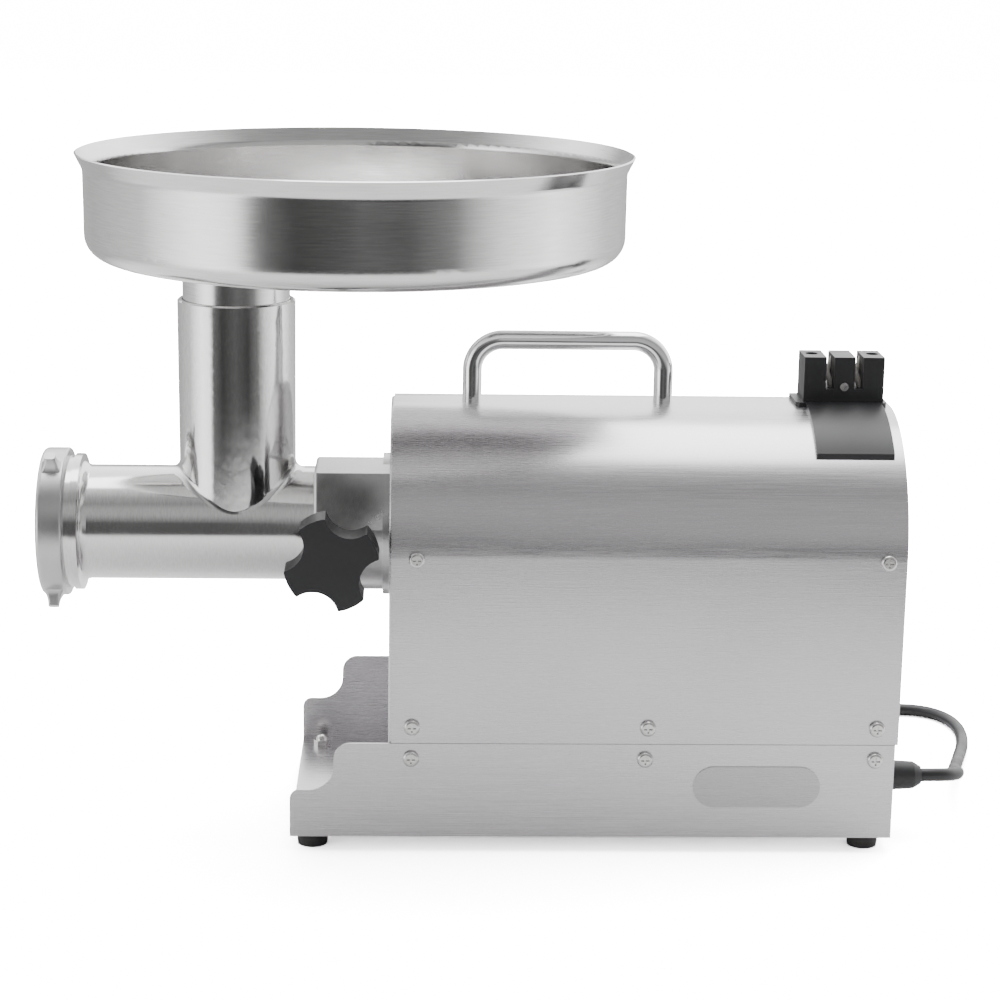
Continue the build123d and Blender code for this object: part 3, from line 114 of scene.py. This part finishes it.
def mix_values(tree, factor, first, second):
    """A value between first and second, which are sockets or numbers."""
    return add_node(tree, "ShaderNodeMix", {0: factor, VALUE_A: first, VALUE_B: second}).outputs[0]


def bump(tree, shader, height, distance, strength=1.0):
    """Adds a bump of that height in metres, on top of the bump the shader already has."""
    inputs = {"Height": height, "Distance": distance, "Strength": strength}
    node = add_node(tree, "ShaderNodeBump", inputs)
    links = shader.inputs["Normal"].links
    if links:
        tree.links.new(links[0].from_socket, node.inputs["Normal"])
    tree.links.new(node.outputs["Normal"], shader.inputs["Normal"])


def edge_wear(tree, shader, plain, worn, radius=0.0006):
    """Lightens or darkens the colour along edges, where handling rubs the surface."""
    rounded = add_node(tree, "ShaderNodeBevel", {"Radius": radius}, samples=4)
    flat = add_node(tree, "ShaderNodeNewGeometry").outputs["Normal"]
    inputs = {0: rounded.outputs["Normal"], 1: flat}
    facing = add_node(tree, "ShaderNodeVectorMath", inputs, operation="DOT_PRODUCT")
    inputs = {"Value": facing.outputs["Value"], "From Min": 0.98, "From Max": 0.75,
              "To Min": 0.0, "To Max": 1.0}
    edge = add_node(tree, "ShaderNodeMapRange", inputs).outputs["Result"]
    mix = add_node(tree, "ShaderNodeMix", {0: edge, COLOR_A: plain, COLOR_B: (*worn, 1)}, data_type="RGBA")
    tree.links.new(mix.outputs[COLOR_OUT], shader.inputs["Base Color"])


# --- Materials ------------------------------------------------------------------------
def brushed_sheet(name, dark, light):
    """Cold-rolled stainless sheet with a fine straight grain along X."""
    material, tree, shader = new_material(name, light, 0.34, 1.0)
    grain = noise(tree, 2600, (0.012, 1, 1), 6)
    clouds = noise(tree, 14, (1, 1, 1), 3)
    color = blend_colors(tree, grain, dark, light)
    tree.links.new(color, shader.inputs["Base Color"])
    rough = add_node(tree, "ShaderNodeMath", {0: spread(tree, grain, 0.22, 0.32),
                                              1: spread(tree, clouds, -0.02, 0.02)}, operation="ADD")
    tree.links.new(rough.outputs["Value"], shader.inputs["Roughness"])
    bump(tree, shader, grain, 0.00002, 0.35)
    return material


def polished_steel(name, stretch, low=0.10, high=0.18, grain_depth=0.000012):
    """Spun or turned stainless, polished, with faint lines round it and light smudges."""
    material, tree, shader = new_material(name, (0.74, 0.735, 0.73), low, 1.0)
    lines = noise(tree, 1500, stretch, 5)
    smudges = noise(tree, 22, (1, 1, 1), 4)
    color = blend_colors(tree, lines, (0.66, 0.655, 0.65), (0.76, 0.755, 0.75))
    tree.links.new(color, shader.inputs["Base Color"])
    tree.links.new(spread(tree, smudges, low, high), shader.inputs["Roughness"])
    bump(tree, shader, lines, grain_depth, 0.4)
    return material


def satin_cast(name="satin_cast", color=(0.60, 0.60, 0.60), grit=0.00006):
    """Tumbled cast metal: soft gloss, fine pits and slightly brighter edges."""
    material, tree, shader = new_material(name, color, 0.32, 1.0)
    pits = noise(tree, 900, (1, 1, 1), 8)
    clouds = noise(tree, 40, (1, 1, 1), 4)
    darker = tuple(0.84 * c for c in color)
    mixed = blend_colors(tree, clouds, darker, color)
    edge_wear(tree, shader, mixed, tuple(min(1, 1.2 * c) for c in color))
    tree.links.new(spread(tree, clouds, 0.26, 0.40), shader.inputs["Roughness"])
    bump(tree, shader, pits, grit, 0.5)
    return material


def chrome_plate(name="chrome_plate"):
    """Bright plating with a trace of waviness and fingerprints."""
    material, tree, shader = new_material(name, (0.86, 0.86, 0.87), 0.06, 1.0)
    waves = noise(tree, 90, (1, 1, 1), 2)
    prints = noise(tree, 35, (1, 1, 1), 5)
    tree.links.new(blend_colors(tree, prints, (0.80, 0.80, 0.81), (0.88, 0.88, 0.89)),
                   shader.inputs["Base Color"])
    tree.links.new(spread(tree, prints, 0.04, 0.12), shader.inputs["Roughness"])
    bump(tree, shader, waves, 0.00002, 0.3)
    return material


def plated_screw(name="plated_screw"):
    """Nickel-plated fasteners with dull recesses."""
    material, tree, shader = new_material(name, (0.70, 0.69, 0.68), 0.22, 1.0)
    tarnish = noise(tree, 300, (1, 1, 1), 5)
    mixed = blend_colors(tree, tarnish, (0.58, 0.57, 0.56), (0.76, 0.75, 0.74))
    edge_wear(tree, shader, mixed, (0.85, 0.85, 0.84), 0.0003)
    tree.links.new(spread(tree, tarnish, 0.16, 0.30), shader.inputs["Roughness"])
    bump(tree, shader, tarnish, 0.00002, 0.4)
    return material


def ground_steel(name="ground_steel", color=(0.52, 0.52, 0.54), stretch=(1, 1, 1)):
    """Machined tool steel with fine marks."""
    material, tree, shader = new_material(name, color, 0.25, 1.0)
    marks = noise(tree, 700, stretch, 6)
    darker = tuple(0.8 * c for c in color)
    mixed = blend_colors(tree, marks, darker, color)
    edge_wear(tree, shader, mixed, tuple(min(1, 1.35 * c) for c in color), 0.0004)
    tree.links.new(spread(tree, marks, 0.20, 0.34), shader.inputs["Roughness"])
    bump(tree, shader, marks, 0.00003, 0.4)
    return material


def laminations(name="laminations", pitch=0.001):
    """Stacked electrical steel, seen as fine dark lines across the stack."""
    material, tree, shader = new_material(name, (0.30, 0.30, 0.32), 0.42, 1.0)
    place = add_node(tree, "ShaderNodeTexCoord").outputs["Object"]
    wave = add_node(tree, "ShaderNodeTexWave", {"Vector": place, "Scale": 1 / pitch / tau * 2},
                    bands_direction="X")
    tree.links.new(blend_colors(tree, wave.outputs["Fac"], (0.16, 0.16, 0.18), (0.36, 0.36, 0.38)),
                   shader.inputs["Base Color"])
    bump(tree, shader, wave.outputs["Fac"], 0.0001, 0.6)
    return material


def moulded(name, color, roughness=0.45, grit=0.00006, scale=1400, worn=1.5):
    """Moulded plastic with a fine spark texture, uneven gloss and rubbed edges."""
    material, tree, shader = new_material(name, color, roughness)
    texture = noise(tree, scale, (1, 1, 1), 3)
    clouds = noise(tree, 30, (1, 1, 1), 4)
    darker = tuple(0.8 * c for c in color)
    mixed = blend_colors(tree, clouds, darker, tuple(min(1, 1.1 * c) for c in color))
    edge_wear(tree, shader, mixed, tuple(min(1, worn * c + 0.01) for c in color))
    tree.links.new(spread(tree, clouds, roughness - 0.06, roughness + 0.06), shader.inputs["Roughness"])
    bump(tree, shader, texture, grit, 0.5)
    return material


def rubber(name, color=(0.018, 0.018, 0.020), roughness=0.55, dust=(0.05, 0.048, 0.045)):
    """Black rubber or soft PVC with a little dust and bloom."""
    material, tree, shader = new_material(name, color, roughness)
    bloom = noise(tree, 60, (1, 1, 1), 5)
    texture = noise(tree, 1100, (1, 1, 1), 3)
    tree.links.new(blend_colors(tree, bloom, color, dust), shader.inputs["Base Color"])
    tree.links.new(spread(tree, bloom, roughness - 0.08, roughness + 0.08), shader.inputs["Roughness"])
    bump(tree, shader, texture, 0.00004, 0.4)
    return material


def winding(name="winding"):
    """Enamelled copper wire, laid in fine turns."""
    material, tree, shader = new_material(name, (0.55, 0.22, 0.08), 0.3, 0.7)
    place = add_node(tree, "ShaderNodeTexCoord").outputs["Object"]
    wave = add_node(tree, "ShaderNodeTexWave", {"Vector": place, "Scale": 260, "Distortion": 2.0},
                    bands_direction="DIAGONAL")
    tree.links.new(blend_colors(tree, wave.outputs["Fac"], (0.30, 0.10, 0.03), (0.66, 0.30, 0.12)),
                   shader.inputs["Base Color"])
    bump(tree, shader, wave.outputs["Fac"], 0.0002, 0.8)
    return material


SHEET = brushed_sheet("brushed_sheet", (0.60, 0.585, 0.605), (0.70, 0.685, 0.70))
TRAY_STEEL = polished_steel("tray_steel", (0.05, 0.05, 1), 0.12, 0.20)
HEAD_STEEL = polished_steel("head_steel", (1, 0.2, 0.2), 0.08, 0.15)
CAST = satin_cast()
HOUSING_CAST = satin_cast("gearbox_cast", (0.46, 0.46, 0.47), 0.00015)
CHROME = chrome_plate()
SCREWS = plated_screw()
GROUND = ground_steel()
PLATE_STEEL = ground_steel("plate_steel", (0.56, 0.56, 0.57))
LAMINATIONS = laminations()
BRONZE = ground_steel("bronze", (0.55, 0.36, 0.17))
BRASS = ground_steel("brass", (0.80, 0.62, 0.28))
BLACK = moulded("black_plastic", (0.020, 0.020, 0.022), 0.42)
KNOB_BLACK = moulded("knob_plastic", (0.014, 0.014, 0.016), 0.38, 0.00008, 900)
GLOSS_BLACK = moulded("switch_plastic", (0.02, 0.02, 0.02), 0.2, 0.00001)
RED = moulded("rocker_plastic", (0.50, 0.015, 0.012), 0.2, 0.00001, worn=1.1)
PALE = moulded("reset_plastic", (0.70, 0.69, 0.66), 0.3, 0.00002, worn=1.0)
NYLON = moulded("gear_nylon", (0.78, 0.75, 0.66), 0.4, worn=1.05)
CERAMIC = moulded("ceramic", (0.74, 0.72, 0.68), 0.7, 0.0001, 2200, worn=0.8)
BADGE = brushed_sheet("badge_satin", (0.44, 0.43, 0.44), (0.52, 0.51, 0.52))
FEET_RUBBER = rubber("feet_rubber", roughness=0.65)
CORD_RUBBER = rubber("cord_rubber", (0.014, 0.014, 0.016), 0.42, (0.022, 0.022, 0.024))
WINDING = winding()

FINISHES = {
    SHEET: ("base_pan", "housing_cover", "front_panel", "rear_panel", "joining_strips", "motor_cradle",
            "capacitor_clamp"),
    TRAY_STEEL: ("tray",),
    HEAD_STEEL: ("grinding_head",),
    CAST: ("head_socket", "ring_nut", "auger"),
    HOUSING_CAST: ("gearbox_housing", "gearbox_mid_plate", "gearbox_lid", "motor_front_bell",
                   "motor_rear_bell"),
    CHROME: ("carry_handle",),
    SCREWS: ("acorn_nuts", "foot_bolts", "cover_screws", "base_screws", "handle_nuts",
             "sharpener_screws", "gearbox_bolts", "breaker_nut", "socket_bolts", "lock_stud"),
    GROUND: ("drive_bearings", "counter_bearings", "motor_bearings", "output_gear", "drive_shaft",
             "countershaft", "motor_shaft"),
    PLATE_STEEL: ("knife", "grinding_plate"),
    LAMINATIONS: ("stator_core", "rotor_core"),
    BRONZE: ("auger_bushing",),
    BRASS: ("plug_blades",),
    BLACK: ("sharpener_body", "strain_relief", "cooling_fan", "cord_tie"),
    KNOB_BLACK: ("lock_knob",),
    GLOSS_BLACK: ("switch_body", "breaker_body"),
    RED: ("switch_rocker",),
    PALE: ("reset_button", "run_capacitor"),
    NYLON: ("counter_gear",),
    CERAMIC: ("sharpener_rods",),
    BADGE: ("badge_plate",),
    FEET_RUBBER: ("rubber_feet",),
    CORD_RUBBER: ("plug_body", "power_cord", "cord_tail", "cord_coil"),
    WINDING: ("stator_windings",),
}


def paint(thing, material):
    """Gives an object one material."""
    thing.data.materials.clear()
    thing.data.materials.append(material)


for finish, names in FINISHES.items():
    for node_name in names:
        paint(nodes[node_name], finish)


# --- Power cord -----------------------------------------------------------------------
CORD_D = 7 * MM
MIDDLE_X = 9.5                                  # the routes' own X = 0 is this far behind the frame's
COIL_X, COIL_Y = (146 - MIDDLE_X) * MM, 136 * MM
LOW_Z, HIGH_Z = 4.4 * MM, 11.4 * MM
TURNS, POINTS_PER_TURN = 5, 16
SLOTS = (45.6 * MM, 38.55 * MM, 31.5 * MM)      # radii of the coil's turns, outside first
STEPS_IN, STEPS_OUT, STEP_SPAN = (0.85, 1.85), (3.5, 4.5), 0.15     # in turns from the coil's start
RISE_START, RISE_END = 2.62, 2.85               # where the turns climb to the upper layer
CORD_ROUTE = [
    (241, -45, 32), (249, -45, 32), (257, -41.8, 31), (263, -34.5, 29), (266.5, -22.5, 25.5),
    (268.5, -7, 20), (272, 12, 13.8), (278, 34, 8.8), (285, 58, 5.4), (292.5, 82, 3.9),
    (297, 105, 3.6), (296.5, 127, 3.6), (288, 144.5, 3.6), (270.5, 151.5, 3.6), (251.5, 146, 3.6),
    (234, 133, 3.6), (216.5, 118, 3.6), (196, 105.5, 3.6), (174, 96.8, 3.9), (157, 91.6, 4.4),
]
TAIL_ROUTE = [
    (134, 90.9, 11), (120, 94.6, 9.2), (106.5, 100, 8.8), (95, 103.8, 10.8), (86, 105, 12.6),
    (78, 105, 12.6),
]


def ramp(value, start, end):
    """0 before start, 1 after end, and smooth between."""
    t = min(1.0, max(0.0, (value - start) / (end - start)))
    return t * t * (3 - 2 * t)


def coil_points():
    """Turns of the coil: three slots inwards on the floor, then outwards on top of them."""
    points = []
    step = SLOTS[0] - SLOTS[1]
    fullness = 0.75 + 0.25 * cos(tau / POINTS_PER_TURN)     # how near the curve comes to its points
    for i in range(TURNS * POINTS_PER_TURN):
        turn = (i + 0.5) / POINTS_PER_TURN
        inwards = sum(ramp(turn, start, start + STEP_SPAN) for start in STEPS_IN)
        outwards = sum(ramp(turn, start, start + STEP_SPAN) for start in STEPS_OUT)
        radius = (SLOTS[0] - step * (inwards - outwards)) / fullness
        height = LOW_Z + (HIGH_Z - LOW_Z) * ramp(turn, RISE_START, RISE_END)
        angle = -pi / 2 - tau * turn
        points.append((COIL_X + radius * cos(angle), COIL_Y + radius * sin(angle), height))
    return points


def make_cord():
    """The lead: out of the strain relief, round on the floor, coiled behind, to the plug."""
    start = Vector((MIDDLE_X, 0, 0))
    route = [(Vector(p) - start) * MM for p in CORD_ROUTE] + [Vector(p) for p in coil_points()]
    route += [(Vector(p) - start) * MM for p in TAIL_ROUTE]
    data = bpy.data.curves.new("mains_lead", "CURVE")
    data.dimensions = "3D"
    data.bevel_depth = CORD_D / 2
    data.bevel_resolution = 6
    data.resolution_u = 8
    data.use_fill_caps = True
    spline = data.splines.new("NURBS")
    spline.points.add(len(route) - 1)
    for point, place in zip(spline.points, route):
        point.co = (*place, 1)
    spline.order_u = 3
    spline.use_endpoint_u = True
    lead = bpy.data.objects.new("mains_lead", data)
    bpy.context.scene.collection.objects.link(lead)
    paint(lead, CORD_RUBBER)
    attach(lead, "machine")
    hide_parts("power_cord", "cord_coil", "cord_tail")


make_cord()


# --- Floor, light and surroundings ------------------------------------------------------
FLOOR_SEEN, SKY_SEEN = 14.0, 16.0       # strong enough to show as white in the picture
FLOOR_HALF = 6.0
FLOOR_NEAR, FLOOR_FAR = 0.55, 0.85      # the floor fades out of reflections between these distances
SKY_LEVEL, BRIGHTEST = 1.35, 3.0
# Light strengths by angle in degrees: SKY rises from the front horizon over the top to the back,
# and AROUND goes round at eye level, with the front at 0 and the machine's motor end at 90.
SKY = [
    (0, 0.5), (17, 0.42), (38, 0.40), (48, 0.26), (62, 0.38), (87, 1.1), (115, 1.8), (150, 2.5),
    (180, 2.2),
]
AROUND = [
    (-180, 0.45), (-140, 0.5), (-98, 0.8), (-66, 2.3), (-50, 2.0), (-42, 0.15), (-24, 0.05), (0, 0.10),
    (24, 0.05), (43, 0.18), (64, 1.2), (92, 2.2), (128, 0.9), (180, 0.45),
]
SKY_LOW, SKY_HIGH, RIGHT_LIFT = 0.18, 0.45, 0.33    # heights between which SKY takes over from AROUND


def make_floor():
    """A pale floor, white in the picture, that only mirrors close by."""
    mesh = bpy.data.meshes.new("floor")
    half = FLOOR_HALF
    corners = [(-half, -half, 0), (half, -half, 0), (half, half, 0), (-half, half, 0)]
    mesh.from_pydata(corners, [], [(0, 1, 2, 3)])
    floor = bpy.data.objects.new("floor", mesh)
    bpy.context.scene.collection.objects.link(floor)
    material, tree, shader = new_material("pale_floor", (0.80, 0.80, 0.80), 0.7)
    tint = blend_colors(tree, noise(tree, 3, (1, 1, 1), 3), (0.79, 0.79, 0.79), (0.81, 0.81, 0.81))
    tree.links.new(tint, shader.inputs["Base Color"])
    bright = add_node(tree, "ShaderNodeBsdfDiffuse", {"Color": (FLOOR_SEEN, FLOOR_SEEN, FLOOR_SEEN, 1)})
    place = add_node(tree, "ShaderNodeNewGeometry").outputs["Position"]
    away = add_node(tree, "ShaderNodeVectorMath", {0: place}, operation="LENGTH").outputs["Value"]
    inputs = {"Value": away, "From Min": FLOOR_NEAR, "From Max": FLOOR_FAR}
    fade = add_node(tree, "ShaderNodeMapRange", inputs).outputs["Result"]
    clear = add_node(tree, "ShaderNodeBsdfTransparent").outputs["BSDF"]
    inputs = {0: fade, 1: shader.outputs["BSDF"], 2: clear}
    lit = add_node(tree, "ShaderNodeMixShader", inputs).outputs["Shader"]
    camera_ray = add_node(tree, "ShaderNodeLightPath").outputs["Is Camera Ray"]
    inputs = {0: camera_ray, 1: lit, 2: bright.outputs["BSDF"]}
    seen = add_node(tree, "ShaderNodeMixShader", inputs).outputs["Shader"]
    tree.links.new(seen, tree.nodes["Material Output"].inputs["Surface"])
    paint(floor, material)


def area_light(name, place, target, size, power):
    """A soft square area light at place that faces target."""
    data = bpy.data.lights.new(name, "AREA")
    data.energy = power
    data.size = size
    light = bpy.data.objects.new(name, data)
    light.location = place
    light.rotation_euler = (Vector(target) - Vector(place)).to_track_quat("-Z", "Y").to_euler()
    bpy.context.scene.collection.objects.link(light)


def strength_ramp(tree, degrees, stops):
    """Light strength by angle: stops are (degrees, strength) pairs in rising order."""
    start, end = stops[0][0], stops[-1][0]
    inputs = {"Value": degrees, "From Min": start, "From Max": end}
    place = add_node(tree, "ShaderNodeMapRange", inputs).outputs["Result"]
    colors = add_node(tree, "ShaderNodeValToRGB", {"Fac": place})
    elements = colors.color_ramp.elements
    for angle, strength in stops[1:-1]:
        elements.new((angle - start) / (end - start))
    for element, (angle, strength) in zip(elements, stops):
        share = strength / BRIGHTEST
        element.position = (angle - start) / (end - start)
        element.color = (share, share, share, 1)
    inputs = {0: colors.outputs["Color"], 1: BRIGHTEST}
    return add_node(tree, "ShaderNodeMath", inputs, operation="MULTIPLY").outputs[0]


def turned(tree, rise, run):
    """The angle of rise over run, in degrees."""
    angle = add_node(tree, "ShaderNodeMath", {0: rise, 1: run}, operation="ARCTAN2").outputs[0]
    return add_node(tree, "ShaderNodeMath", {0: angle}, operation="DEGREES").outputs[0]


def make_world():
    """A soft studio: dark in front at eye level, soft boxes at both sides, bright above and behind."""
    world = bpy.data.worlds.new("studio")
    world.use_nodes = True
    tree = world.node_tree
    direction = add_node(tree, "ShaderNodeTexCoord").outputs["Generated"]
    parts = add_node(tree, "ShaderNodeSeparateXYZ", {0: direction}).outputs
    front = add_node(tree, "ShaderNodeMath", {0: parts["Y"], 1: -1.0}, operation="MULTIPLY").outputs[0]
    sky = strength_ramp(tree, turned(tree, parts["Z"], front), SKY)
    around = strength_ramp(tree, turned(tree, parts["X"], front), AROUND)
    inputs = {"Value": parts["X"], "From Min": -0.05, "From Max": 0.03, "To Max": RIGHT_LIFT}
    lift = add_node(tree, "ShaderNodeMapRange", inputs).outputs["Result"]
    height = add_node(tree, "ShaderNodeMath", {0: parts["Z"], 1: lift}, operation="ADD").outputs[0]
    inputs = {"Value": height, "From Min": SKY_LOW, "From Max": SKY_HIGH}
    raised = add_node(tree, "ShaderNodeMapRange", inputs).outputs["Result"]
    inputs = {0: mix_values(tree, raised, around, sky), 1: SKY_LEVEL}
    light = add_node(tree, "ShaderNodeMath", inputs, operation="MULTIPLY").outputs[0]
    camera_ray = add_node(tree, "ShaderNodeLightPath").outputs["Is Camera Ray"]
    background = tree.nodes["Background"]
    tree.links.new(mix_values(tree, camera_ray, light, SKY_SEEN), background.inputs["Strength"])
    background.inputs["Color"].default_value = (1, 1, 1, 1)
    bpy.context.scene.world = world


make_floor()
make_world()
area_light("top", (0.1, 0.25, 1.7), (0, 0, 0.1), 1.2, 20)

# --- Scene update -----------------------------------------------------------------------
bpy.context.view_layer.update()
